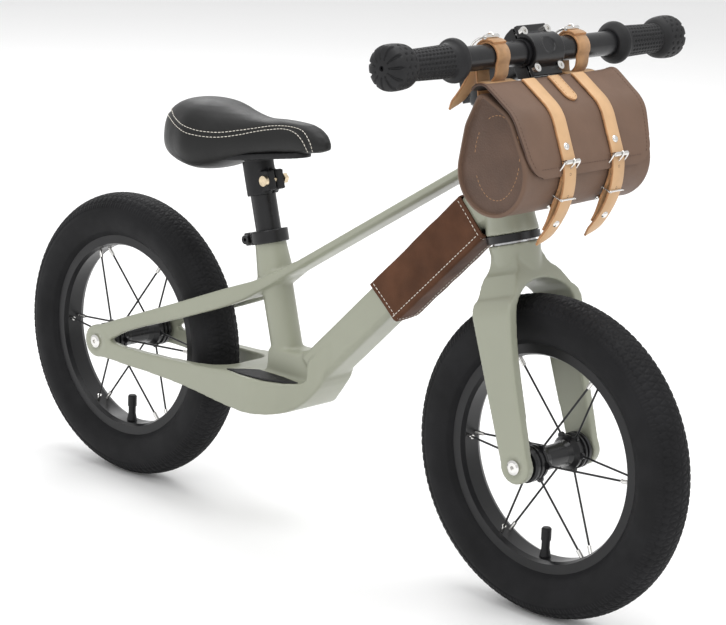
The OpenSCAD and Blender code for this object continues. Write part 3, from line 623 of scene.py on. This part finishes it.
def surface(obj):
    """A search tree of an object's surface, in millimetres."""
    mesh = obj.data
    corners = [v.co / MM for v in mesh.vertices]
    return BVHTree.FromPolygons(corners, [tuple(p.vertices) for p in mesh.polygons])


def lay(tree, points, lift=0.3):
    """Moves points onto the surface, each found by the nearest spot."""
    result = []
    for p in points:
        spot, normal, _, _ = tree.find_nearest(p)
        result.append(spot + normal * (lift if normal.dot(p - spot) >= 0 else -lift))
    return result


def stitch_row(shape, path, pitch=4.2, length=3.0, radius=0.42, loop=False):
    """A row of thread stitches along a path."""
    places = resample(path, pitch, loop)
    for a, b in zip(places, places[1:]):
        along = (b - a).normalized()
        middle_point = (a + b) / 2
        shape.stitch(middle_point - along * length / 2, middle_point + along * length / 2, radius)


# ---------- leather goods ----------

# The bag's section is wrapped round three circles. The flap stands a little above the drum at the top.
BAG_CIRCLES = ((vec(272, 0, 419), 38.5), (vec(268, 0, 449), 31), (vec(259, 0, 483), 8))
DRUM_CIRCLES = ((vec(272, 0, 419), 38.5), (vec(268, 0, 449), 29.5), (vec(258, 0, 478), 8))
BAG_MIDDLE = middle("bag_body").y
BAG_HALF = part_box("bag_body")[1].y / MM - BAG_MIDDLE
LEATHER = 2.2
STRAP_W = 17
STRAP_Y = 34
BAR_STRAP_Y = 55.5


def bag_outline(grow, count=150, circles=BAG_CIRCLES):
    """Points round the bag's section, from the top rear over the front and back underneath."""
    points = []
    for angle in turns(720, math.radians(175)):
        out = vec(math.cos(-angle), 0, math.sin(-angle))
        centre, r = max(circles, key=lambda c: c[0].dot(out) + c[1])
        points.append(centre + out * (r + grow))
    return resample(points, sum((b - a).length for a, b in zip(points, points[1:])) / count, loop=True)


def bag_arc(grow, first, last, pitch=2.0):
    """The part of the bag's outline between the points nearest to two places, over the front."""
    points = bag_outline(grow, 300)
    a = min(range(len(points)), key=lambda i: (points[i] - first).length)
    b = min(range(len(points)), key=lambda i: (points[i] - last).length)
    return resample(points[a:b + 1], pitch)


def soft_noise(p, size, amount):
    """A slow random offset, so that leather isn't perfectly even."""
    return noise.noise(p / size) * amount


def bag_wall(half, grow, name, recessed=True):
    """A closed drum of the bag's section, with raised edges and slightly domed ends, recessed or not."""
    ends = [(half, -2.6), (half - 0.2, -1.2), (half - 1.0, -0.2), (half - 2.6, 0.25), (half - 5, 0.1)]
    middle_rows = [(half - 5) * (1 - i / 22) for i in range(1, 22)]
    rows = ends + [(y, 0.0) for y in middle_rows]
    rows = rows + [(-y, g) for y, g in reversed(rows)]
    rings = []
    for y, g in rows:
        ring = []
        for p in bag_outline(grow + g, circles=DRUM_CIRCLES):
            at = vec(p.x, y, p.z)
            out = vec(p.x - 268, 0, p.z - 440).normalized()
            ring.append(at + out * soft_noise(at, 45, 0.5))
        rings.append(ring)
    shape = Shape()
    shape.loft(rings, caps=False)
    for side, first in ((1, rings[0]), (-1, rings[-1])):
        centre = vec(270, 0, 432)
        caps = [first]
        for share, depth in ((0.985, 1.2), (0.972, 2.6), (0.95, 2.8), (0.9, 2.5), (0.8, 1.9),
                             (0.7, 1.5), (0.55, 1.1), (0.4, 0.9), (0.25, 0.7), (0.1, 0.6)):
            ring = []
            for p in first:
                at = centre + (vec(p.x, 0, p.z) - centre) * share
                dent = soft_noise(at, 22, 0.8) * (share < 0.9)
                ring.append(vec(at.x, side * (half - depth * recessed + dent), at.z))
            caps.append(ring)
        before = len(shape.faces)
        shape.loft(caps, caps=False, kind=1)
        last = len(shape.points) - len(first)
        shape.face(tuple(range(last, last + len(first))), 1)
        size = len(first)
        for k in range(before, before + size * 2):
            shape.kinds[k] = 0
    mesh = bpy.data.meshes.new(name)
    mesh.from_pydata([(p + vec(0, BAG_MIDDLE, 0)) * MM for p in shape.points], [], shape.faces)
    mesh.polygons.foreach_set("material_index", shape.kinds)
    work = bmesh.new()
    work.from_mesh(mesh)
    bmesh.ops.remove_doubles(work, verts=work.verts, dist=0.02 * MM)
    bmesh.ops.recalc_face_normals(work, faces=work.faces)
    work.to_mesh(mesh)
    work.free()
    return mesh


def prism(outline, half, name):
    """A closed block with an outline in the XZ plane, for cutting."""
    shape = Shape()
    shape.loft([[vec(x, y + BAG_MIDDLE, z) for x, z in outline] for y in (-half, half)])
    mesh = bpy.data.meshes.new(name)
    mesh.from_pydata([p * MM for p in shape.points], [], shape.faces)
    tidy_normals(mesh)
    return mesh


def carve(obj, cutters):
    """Cuts meshes away from an object."""
    helpers = []
    for mesh in cutters:
        helper = bpy.data.objects.new("cutter", mesh)
        bpy.context.scene.collection.objects.link(helper)
        cut = obj.modifiers.new("cut", "BOOLEAN")
        cut.operation = "DIFFERENCE"
        cut.solver = "EXACT"
        cut.object = helper
        helpers.append(helper)
    apply_modifiers(obj)
    for helper in helpers:
        bpy.data.objects.remove(helper)


def bag_body():
    outer = bag_wall(BAG_HALF + 1.5, 0, "bag_outside")
    inner = bag_wall(BAG_HALF - 2.4, -LEATHER, "bag_inside", recessed=False)
    inner.polygons.foreach_set("material_index", [2] * len(inner.polygons))
    mouth = prism([(258, 500), (330, 500), (330, 437), (288, 447), (262, 474)], 79, "bag_mouth")
    mouth.polygons.foreach_set("material_index", [3] * len(mouth.polygons))
    obj = bpy.data.objects.new("bag_leather_body", outer)
    bpy.context.scene.collection.objects.link(obj)
    for mesh in (outer, inner, mouth):
        for mat in (BAG, BAG_GRAIN, LINING_AND_HOLE_SHADE, BAG_EDGE):
            mesh.materials.append(mat)
    carve(obj, [inner, mouth])
    shade(obj, 40)
    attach(obj, "steering")
    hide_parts("bag_body")
    thread = Shape()
    tree = surface(obj)
    for side in (1, -1):
        ring = [vec(277 + 24.5 * math.cos(t), BAG_MIDDLE + side * (BAG_HALF - 1), 433 + 37 * math.sin(t))
                for t in turns(60)]
        stitch_row(thread, lay(tree, ring, 0.15), 4.0, 2.8, 0.33, loop=True)
    piece("bag_end_stitches", thread, TAN_THREAD, "steering")


def flap_half(z):
    """Half of the flap's width at a height: rounded at the lower corners."""
    low, corner = 419.5, 17.0
    wide = profile_at([(low, 83), (470, 90.0), (500, 91)], z)
    if z < low + corner:
        drop = (low + corner - z) / corner
        wide -= corner * (1 - math.sqrt(max(0, 1 - drop * drop)))
    return wide


def bag_flap():
    """The leather flap over the bag's mouth, which hangs a little away from the ends at the top."""
    arc = bag_arc(0.8 + LEATHER / 2, vec(251.5, 0, 487), vec(312, 0, 418.5), 1.6)
    count = 52
    rows = []
    for i, p in enumerate(arc):
        step = arc[min(i + 1, len(arc) - 1)] - arc[max(i - 1, 0)]
        out = vec(-step.z, 0, step.x).normalized()
        half = flap_half(p.z) if p.x > 262 else 91.0
        row = []
        for k in range(count + 1):
            share = 2 * k / count - 1
            share = math.copysign(1 - (1 - abs(share)) ** 1.25, share)
            y = half * share
            at = p + vec(0, y + BAG_MIDDLE, 0)
            near_end = max(0, (abs(y) - 74) / 18)
            lift = 0.35 + soft_noise(at, 30, 0.55) + near_end ** 2 * (1.6 if p.z > 440 else 0.5)
            row.append((at + out * lift, out))
        rows.append(row)
    shape = Shape()
    rings = []
    for row in rows:
        front = [p + out * (LEATHER / 2) for p, out in row]
        back = [p - out * (LEATHER / 2) for p, out in row]
        left = (front[0] + back[0]) / 2 + vec(0, -0.55, 0)
        right = (front[-1] + back[-1]) / 2 + vec(0, 0.55, 0)
        rings.append(front + [right] + back[::-1] + [left])
    top = count + 1
    kinds = [0] * (top - 1) + [3, 3] + [2] * (top - 1) + [3, 3]
    shape.loft(rings, ring_kinds=kinds, kind=3)
    obj = piece("bag_leather_flap", shape, [BAG, BAG_GRAIN, LINING_AND_HOLE_SHADE, BAG_EDGE], "flap", ["bag_flap"],
                sharp=50)
    thread = Shape()
    for last, beside in ((0, 1), (-1, -2)):
        path = []
        for line in rows[4:]:
            (p, out), (q, _) = line[last], line[beside]
            inward = (q - p).normalized()
            path.append(p + inward * 4.5 + out * (LEATHER / 2 + 0.1))
        stitch_row(thread, [p for p in path if p.z > 427], 3.6, 2.5, 0.3)
    low = [p + out * (LEATHER / 2 + 0.1) for p, out in min(rows, key=lambda r: abs(r[0][0].z - 426))]
    stitch_row(thread, [p for p in low if abs(p.y - BAG_MIDDLE) < 72], 3.6, 2.5, 0.3)
    piece("flap_stitches", thread, BROWN_THREAD, "flap")
    return obj


def strap(shape, path, y, width=STRAP_W, thick=LEATHER, side=1, tip=0):
    """A flat leather strap, whose kinds are 0 for its face, 1 for its edges and 2 for its back.

    tip is the length of its shaped end."""
    reach = [0.0]
    for a, b in zip(path, path[1:]):
        reach.append(reach[-1] + (b - a).length)
    rings = []
    for i, p in enumerate(path):
        step = path[min(i + 1, len(path) - 1)] - path[max(i - 1, 0)]
        out = vec(-step.z, 0, step.x).normalized() * side
        half = width / 2
        left = reach[-1] - reach[i]
        if tip and left < tip:
            share = 1 - left / tip
            round_end = tip <= width / 2 + 1
            half *= max(0.08, math.sqrt(1 - share * share) if round_end else 1 - share ** 1.5)
        soft = min(0.7, half / 3)
        middle_point = p + vec(0, y, 0)
        ring = []
        for across, up in ((-half + soft, 0.5), (0, 0.53), (half - soft, 0.5), (half, 0.28), (half, -0.28),
                           (half - soft, -0.5), (-half + soft, -0.5), (-half, -0.28), (-half, 0.28)):
            ring.append(middle_point + vec(0, across, 0) + out * (up * thick))
        rings.append(ring)
    shape.loft(rings, ring_kinds=[0, 0, 1, 1, 1, 2, 1, 1, 1], kind=1)


def edge_stitches(shape, path, y, side=1, inset=2.0, thick=LEATHER, pitch=5.0, length=2.2):
    """Rows of stitches along both edges of a strap."""
    for edge in (-1, 1):
        row = []
        across = y + edge * (STRAP_W / 2 - inset)
        for i, p in enumerate(path):
            step = path[min(i + 1, len(path) - 1)] - path[max(i - 1, 0)]
            out = vec(-step.z, 0, step.x).normalized() * side
            row.append(p + vec(0, across, 0) + out * (thick / 2 + 0.05))
        stitch_row(shape, row, pitch, length, 0.32)


def dome(shape, base, axis, r, height):
    """A domed rivet head on a thin collar."""
    axis = axis.normalized()
    side = axis.orthogonal().normalized()
    other = axis.cross(side)
    rings = []
    for share, up in ((1.0, -0.5), (1.0, 0.25), (0.9, 0.45), (0.86, 0.5), (0.8, 0.72), (0.62, 0.9),
                      (0.36, 0.98), (0.05, 1.0)):
        rings.append([base + axis * (up * height) + (side * math.cos(t) + other * math.sin(t)) * (r * share)
                      for t in turns(20)])
    shape.loft(rings)


def roller_buckle(shape, roller, out, down, y, half):
    """A roller on a wire frame with a prong. out and down are directions in the XZ plane."""
    across = vec(0, 1, 0)
    centre = roller + across * y
    shape.tube([centre - across * (half - 1.6), centre + across * (half - 1.6)], 2.1, 16)
    corner = 2.4
    frame_path = []
    for side in (-1, 1):
        rows = [(half, 0), (half + 0.4, 3), (half + 0.3, 9), (half, 14), (half - corner, 17)]
        line = [centre + across * (side * a) + down * b - out * (0.03 * b * b) for a, b in rows]
        frame_path += line if side < 0 else line[::-1]
    shape.tube(spline(frame_path, 5), 1.0, 10)
    shape.tube([centre - across * (half - 0.5), centre + across * (half - 0.5)], 1.0, 10)
    prong = [centre - down * 2.6 + out * 0.6, centre - down * 0.6 + out * 2.9, centre + down * 3 + out * 2.5,
             centre + down * 8 - out * 0.4, centre + down * 13 - out * 3.2]
    shape.tube(spline(prong, 5), 0.85, 8)


def wire_loop(shape, centre, out, half, deep, r=1.0):
    """A rounded rectangle of wire round a strap."""
    corners = []
    for a, b in ((-1, -1), (1, -1), (1, 1), (-1, 1)):
        for first in (True, False):
            cut = 1.2
            inset_across = cut if first == (a * b > 0) else 0
            inset_out = 0 if inset_across else cut
            corners.append(centre + vec(0, a * (half - inset_across), 0) + out * (b * (deep - inset_out)))
    shape.tube(corners, r, 10, loop=True)


STRAP_FACES = [TAN, TAN_EDGE, TAN_BACK]
# The middle of a front strap's tail, and of the tab behind it, from the top down: x, z
STRAP_FRONT = [(313.6, 431), (315.0, 424), (315.4, 414), (314.2, 402), (310.5, 390), (305.0, 378.5),
               (298, 367.5), (290.5, 358.5), (283, 351.5)]
STRAP_REAR = [(313.2, 420), (311.8, 411), (308.6, 401), (304.6, 391.5), (301.6, 382), (298.6, 374),
              (295.5, 368)]


def front_strap(side, name):
    """The strap over the flap, its buckled tail and the tab behind the tail."""
    y = BAG_MIDDLE + side * STRAP_Y
    over = bag_arc(1.4 + 1.5 * LEATHER, vec(262, 0, 493), vec(313, 0, 431), 1.6)
    shape = Shape()
    strap(shape, over, y)
    tail = resample(spline([vec(x, 0, z) for x, z in STRAP_FRONT], 6), 1.3)
    strap(shape, tail, y, tip=15)
    back = resample(spline([vec(x, 0, z) for x, z in STRAP_REAR], 6), 1.3)
    strap(shape, back, y)
    piece(name + "_leather", shape, STRAP_FACES, "flap", [name], sharp=45)
    # The strap holes are small dark domes on the strap's face, not openings: their colour is painted shade
    # for the shadowed insides of the holes.
    painted_hole_shade = Shape()
    for i in (9, 24):
        p = tail[i]
        step = tail[i + 1] - tail[i - 1]
        out = vec(-step.z, 0, step.x).normalized()
        rings = [[p + vec(0, y, 0) + out * (LEATHER / 2 + up) + vec(0, math.cos(t), 0) * r
                  + step.normalized() * (math.sin(t) * r) for t in turns(14)]
                 for r, up in ((1.3, 0.03), (1.1, 0.1), (0.8, 0.02), (0.1, 0.0))]
        painted_hole_shade.loft(rings, caps=False)
    piece(name + "_holes", painted_hole_shade, LINING_AND_HOLE_SHADE, "flap")


def front_hardware():
    buckles = Shape()
    keepers = Shape()
    rivets = Shape()
    for side in (-1, 1):
        y = BAG_MIDDLE + side * STRAP_Y
        roller_buckle(buckles, vec(317.6, 0, 431), vec(1, 0, 0.08).normalized(),
                      vec(-0.36, 0, -1).normalized(), y, STRAP_W / 2 + 1.8)
        wire_loop(keepers, vec(311.2, y, 398.6), vec(0.95, 0, -0.3).normalized(), STRAP_W / 2 + 1.5, 5.4)
        lean = math.radians(22)
        upper = vec(math.cos(lean), 0, math.sin(lean))
        lower = vec(0.866, 0, -0.5)
        dome(rivets, vec(304.8, y, 441) + upper * 5.4, upper, 3.5, 1.9)
        dome(rivets, vec(302.4, y, 374.6) + lower * 1.4, lower, 3.5, 1.9)
    piece("roller_buckles", buckles, NICKEL, "flap", ["strap_buckles"])
    piece("keeper_loops", keepers, NICKEL, "flap", ["strap_keepers"])
    piece("rivet_heads", rivets, NICKEL, "flap", ["strap_rivets"], sharp=60)


def centre_tab():
    """The short rounded tab on top of the flap, with a stitched border."""
    path = bag_arc(1.4 + 1.5 * LEATHER, vec(262, 0, 493), vec(289.5, 0, 478.5), 0.8)
    shape = Shape()
    strap(shape, path, BAG_MIDDLE, width=15, tip=7.5)
    piece("centre_tab_leather", shape, STRAP_FACES, "flap", ["flap_tab"], sharp=45)
    thread = Shape()
    edge_stitches(thread, path[:-8], BAG_MIDDLE, inset=3.4, pitch=3.4, length=2.2)
    arc = []
    for t in (-80, -50, -20, 20, 50, 80):
        p = path[-8] + (path[-1] - path[-8]) * (0.7 * math.cos(math.radians(t)))
        step = path[-1] - path[-8]
        out = vec(-step.z, 0, step.x).normalized()
        arc.append(p + vec(0, BAG_MIDDLE + 5.1 * math.sin(math.radians(t)), 0) + out * (LEATHER / 2 + 0.05))
    stitch_row(thread, spline(arc, 4), 3.0, 2.0, 0.32)
    piece("centre_tab_stitches", thread, TAN_THREAD, "flap")


def bar_straps():
    """The two loops that hang the bag from the bar, with their buckles, tails and base strips."""
    shape = Shape()
    thread = Shape()
    buckles = Shape()
    r = 11.1 + 0.2 + LEATHER / 2
    for side in (-1, 1):
        y = BAG_MIDDLE + side * BAR_STRAP_Y
        loop = [vec(246.5, 0, 493.5), vec(250.5, 0, 499)]
        for degrees in range(-25, 196, 11):
            angle = math.radians(degrees)
            loop.append(vec(BAR.x + r * math.cos(angle), 0, BAR.z + r * math.sin(angle)))
        loop += [vec(BAR.x - 11.4, 0, 502), vec(231.5, 0, 486), vec(234, 0, 471), vec(236.0, 0, 455)]
        loop = resample(spline(loop, 4), 1.6)
        strap(shape, loop, y)
        edge_stitches(thread, loop[3:28], y)
        layer = []
        for degrees in range(60, 181, 10):
            angle = math.radians(degrees)
            around = vec(math.cos(angle), 0, math.sin(angle))
            layer.append(vec(BAR.x, 0, BAR.z) + around * (r + LEATHER))
        if side < 0:
            layer += [vec(221.5, 0, 500), vec(213, 0, 484), vec(203, 0, 471), vec(193, 0, 461)]
        else:
            layer += [vec(222, 0, 502), vec(219, 0, 490), vec(215, 0, 480)]
        layer = resample(spline(layer, 4), 1.6)
        strap(shape, layer, y, tip=15)
        strip_path = [vec(240.5 + i * 1.0, 0, 492.2 + 0.5 * math.sin(i / 3)) for i in range(15)]
        strap(shape, strip_path, y, width=40, thick=2.0)
        angle = math.radians(100)
        out = vec(math.cos(angle), 0, math.sin(angle))
        down = vec(-math.sin(angle), 0, math.cos(angle))
        roller = vec(BAR.x, 0, BAR.z) + out * (r + LEATHER + 2.6)
        roller_buckle(buckles, roller, out, down, y, STRAP_W / 2 + 1.6)
    piece("bar_strap_leather", shape, STRAP_FACES, "steering", ["bar_straps"], sharp=45)
    piece("bar_strap_stitches", thread, TAN_THREAD, "steering")
    piece("bar_roller_buckles", buckles, NICKEL, "steering", ["bar_strap_buckles"])


# ---------- down tube cover ----------

COVER_LEAN = math.radians(44.1)
COVER_FOOT = vec(-18, 0, 184)
COVER_HALF = 22.0
COVER_FROM = 127
COVER_STEP = 1.75
COVER_RINGS = 85
# The lower end is cut on a slant that fades out over this length
COVER_FADE = 23
COVER_SLANT = 3.5
COVER_REACH = 277
COVER_STITCH = (4.4, 3.0, 0.38)


def cover():
    """The stitched leather wrap round the down tube, closed by a sewn ridge underneath."""
    along = vec(math.cos(COVER_LEAN), 0, math.sin(COVER_LEAN))
    off = vec(-math.sin(COVER_LEAN), 0, math.cos(COVER_LEAN))
    half = COVER_HALF
    section = [(-half + 3, 2.2), (half - 3, 2.2), (half - 0.6, 1.4), (half, -1.4), (half, -30),
               (half - 1, -36), (half - 6, -40), (4, -42.6), (-half + 5, -43.5), (-half + 1.2, -42.6),
               (-half - 0.3, -40), (-half, -36), (-half, -2), (-half + 0.6, 1.2)]
    ring_points = resample(spline([vec(0, y, z) for y, z in section + section[:1]], 6)[:-1], 1.7, loop=True)
    rings = []
    for at in [COVER_FROM + i * COVER_STEP for i in range(COVER_RINGS)]:
        ring = []
        for p in ring_points:
            slant = COVER_SLANT * (p.z / 40)
            fade = max(0, 1 - (at - COVER_FROM) / COVER_FADE)
            place = COVER_FOOT + along * (at - slant * fade) + vec(0, p.y, 0) + off * p.z
            outward = (vec(0, p.y, 0) + off * (p.z + 18)).normalized()
            ring.append(place + outward * soft_noise(place, 16, 0.5))
        rings.append(ring)
    rings = [r for r in rings if (r[0] - COVER_FOOT).length < COVER_REACH]
    shape = Shape()
    inner = []
    for ring in (rings[0], rings[-1]):
        middle_point = sum(ring, vec(0, 0, 0)) / len(ring)
        inner.append([p.lerp(middle_point, 0.07) for p in ring])
    shape.loft([inner[0]] + rings + [inner[1]], caps=False)
    obj = piece("cover_leather_wrap", shape, COVER, "frame", ["down_tube_cover"], sharp=60)
    tree = surface(obj)
    thread = Shape()
    rim = 4.2
    for ring, inward in ((rings[0], along), (rings[-1], -along)):
        path = lay(tree, [p + inward * rim for p in ring], 0.15)
        stitch_row(thread, path, *COVER_STITCH, loop=True)
    for y, z in ((-half - 2, -38), (4, -46), (half + 2, -33)):
        beside = COVER_FOOT + vec(0, y, 0) + off * z
        line = [beside + along * (COVER_FROM + 4 + i * 1.5) for i in range(92)]
        stitch_row(thread, lay(tree, line, 0.15), *COVER_STITCH)
    piece("cover_stitches", thread, THREAD, "frame")


# ---------- stage ----------

def aim(obj, target):
    obj.rotation_mode = "QUATERNION"
    obj.rotation_quaternion = (obj.location - target).to_track_quat("Z", "Y")


def add_stage():
    mesh = bpy.data.meshes.new("floor")
    half = 12
    corners = [(-half, -half, 0), (half, -half, 0), (half, half, 0), (-half, half, 0)]
    mesh.from_pydata(corners, [], [(0, 1, 2, 3)])
    floor = bpy.data.objects.new("floor", mesh)
    bpy.context.scene.collection.objects.link(floor)
    mesh.materials.append(material("pale_floor", (0.93, 0.93, 0.93), 0.7, spread=0.01, patch=1))


def add_lights():
    centre = vec(0, 0, 0.28)
    for name, place, size, power in (
        ("top", (0.2, 0.2, 3.2), 3.4, 62),
        ("key", (1.0, -2.6, 2.4), 1.8, 20),
        ("fill", (2.8, 0.4, 1.8), 1.6, 8),
        ("back", (-2.2, 1.6, 2.2), 1.6, 20),
    ):
        data = bpy.data.lights.new(name, "AREA")
        data.shape = "DISK"
        data.size = size
        data.energy = power
        lamp = bpy.data.objects.new(name, data)
        lamp.location = place
        aim(lamp, centre)
        bpy.context.scene.collection.objects.link(lamp)
    world = bpy.data.worlds.new("studio")
    bpy.context.scene.world = world
    world.use_nodes = True
    world.node_tree.nodes["Background"].inputs["Color"].default_value = (1, 1, 1, 1)
    world.node_tree.nodes["Background"].inputs["Strength"].default_value = 0.8


def set_view():
    view = bpy.context.scene.view_settings
    view.view_transform = "Standard"
    view.look = "None"


def add_camera():
    data = bpy.data.cameras.new("camera")
    data.lens = 125.95
    data.sensor_width = 36
    camera = bpy.data.objects.new("camera", data)
    camera.location = (1.6569, -1.7381, 0.8170)
    aim(camera, vec(0.0443, 0, 0.2374))
    camera.rotation_quaternion @= Matrix.Rotation(math.radians(2.37), 3, "Z").to_quaternion()
    bpy.context.scene.collection.objects.link(camera)
    bpy.context.scene.camera = camera


paint_kept_nodes()
cast_pieces()
tyre("front", FRONT_AXLE)
tyre("rear", REAR_AXLE)
grip(1, "grip_left")
grip(-1, "grip_right")
saddle_pad()
bag_body()
bag_flap()
front_strap(1, "front_strap_left")
front_strap(-1, "front_strap_right")
front_hardware()
centre_tab()
bar_straps()
cover()
add_stage()
add_lights()
add_camera()
set_view()
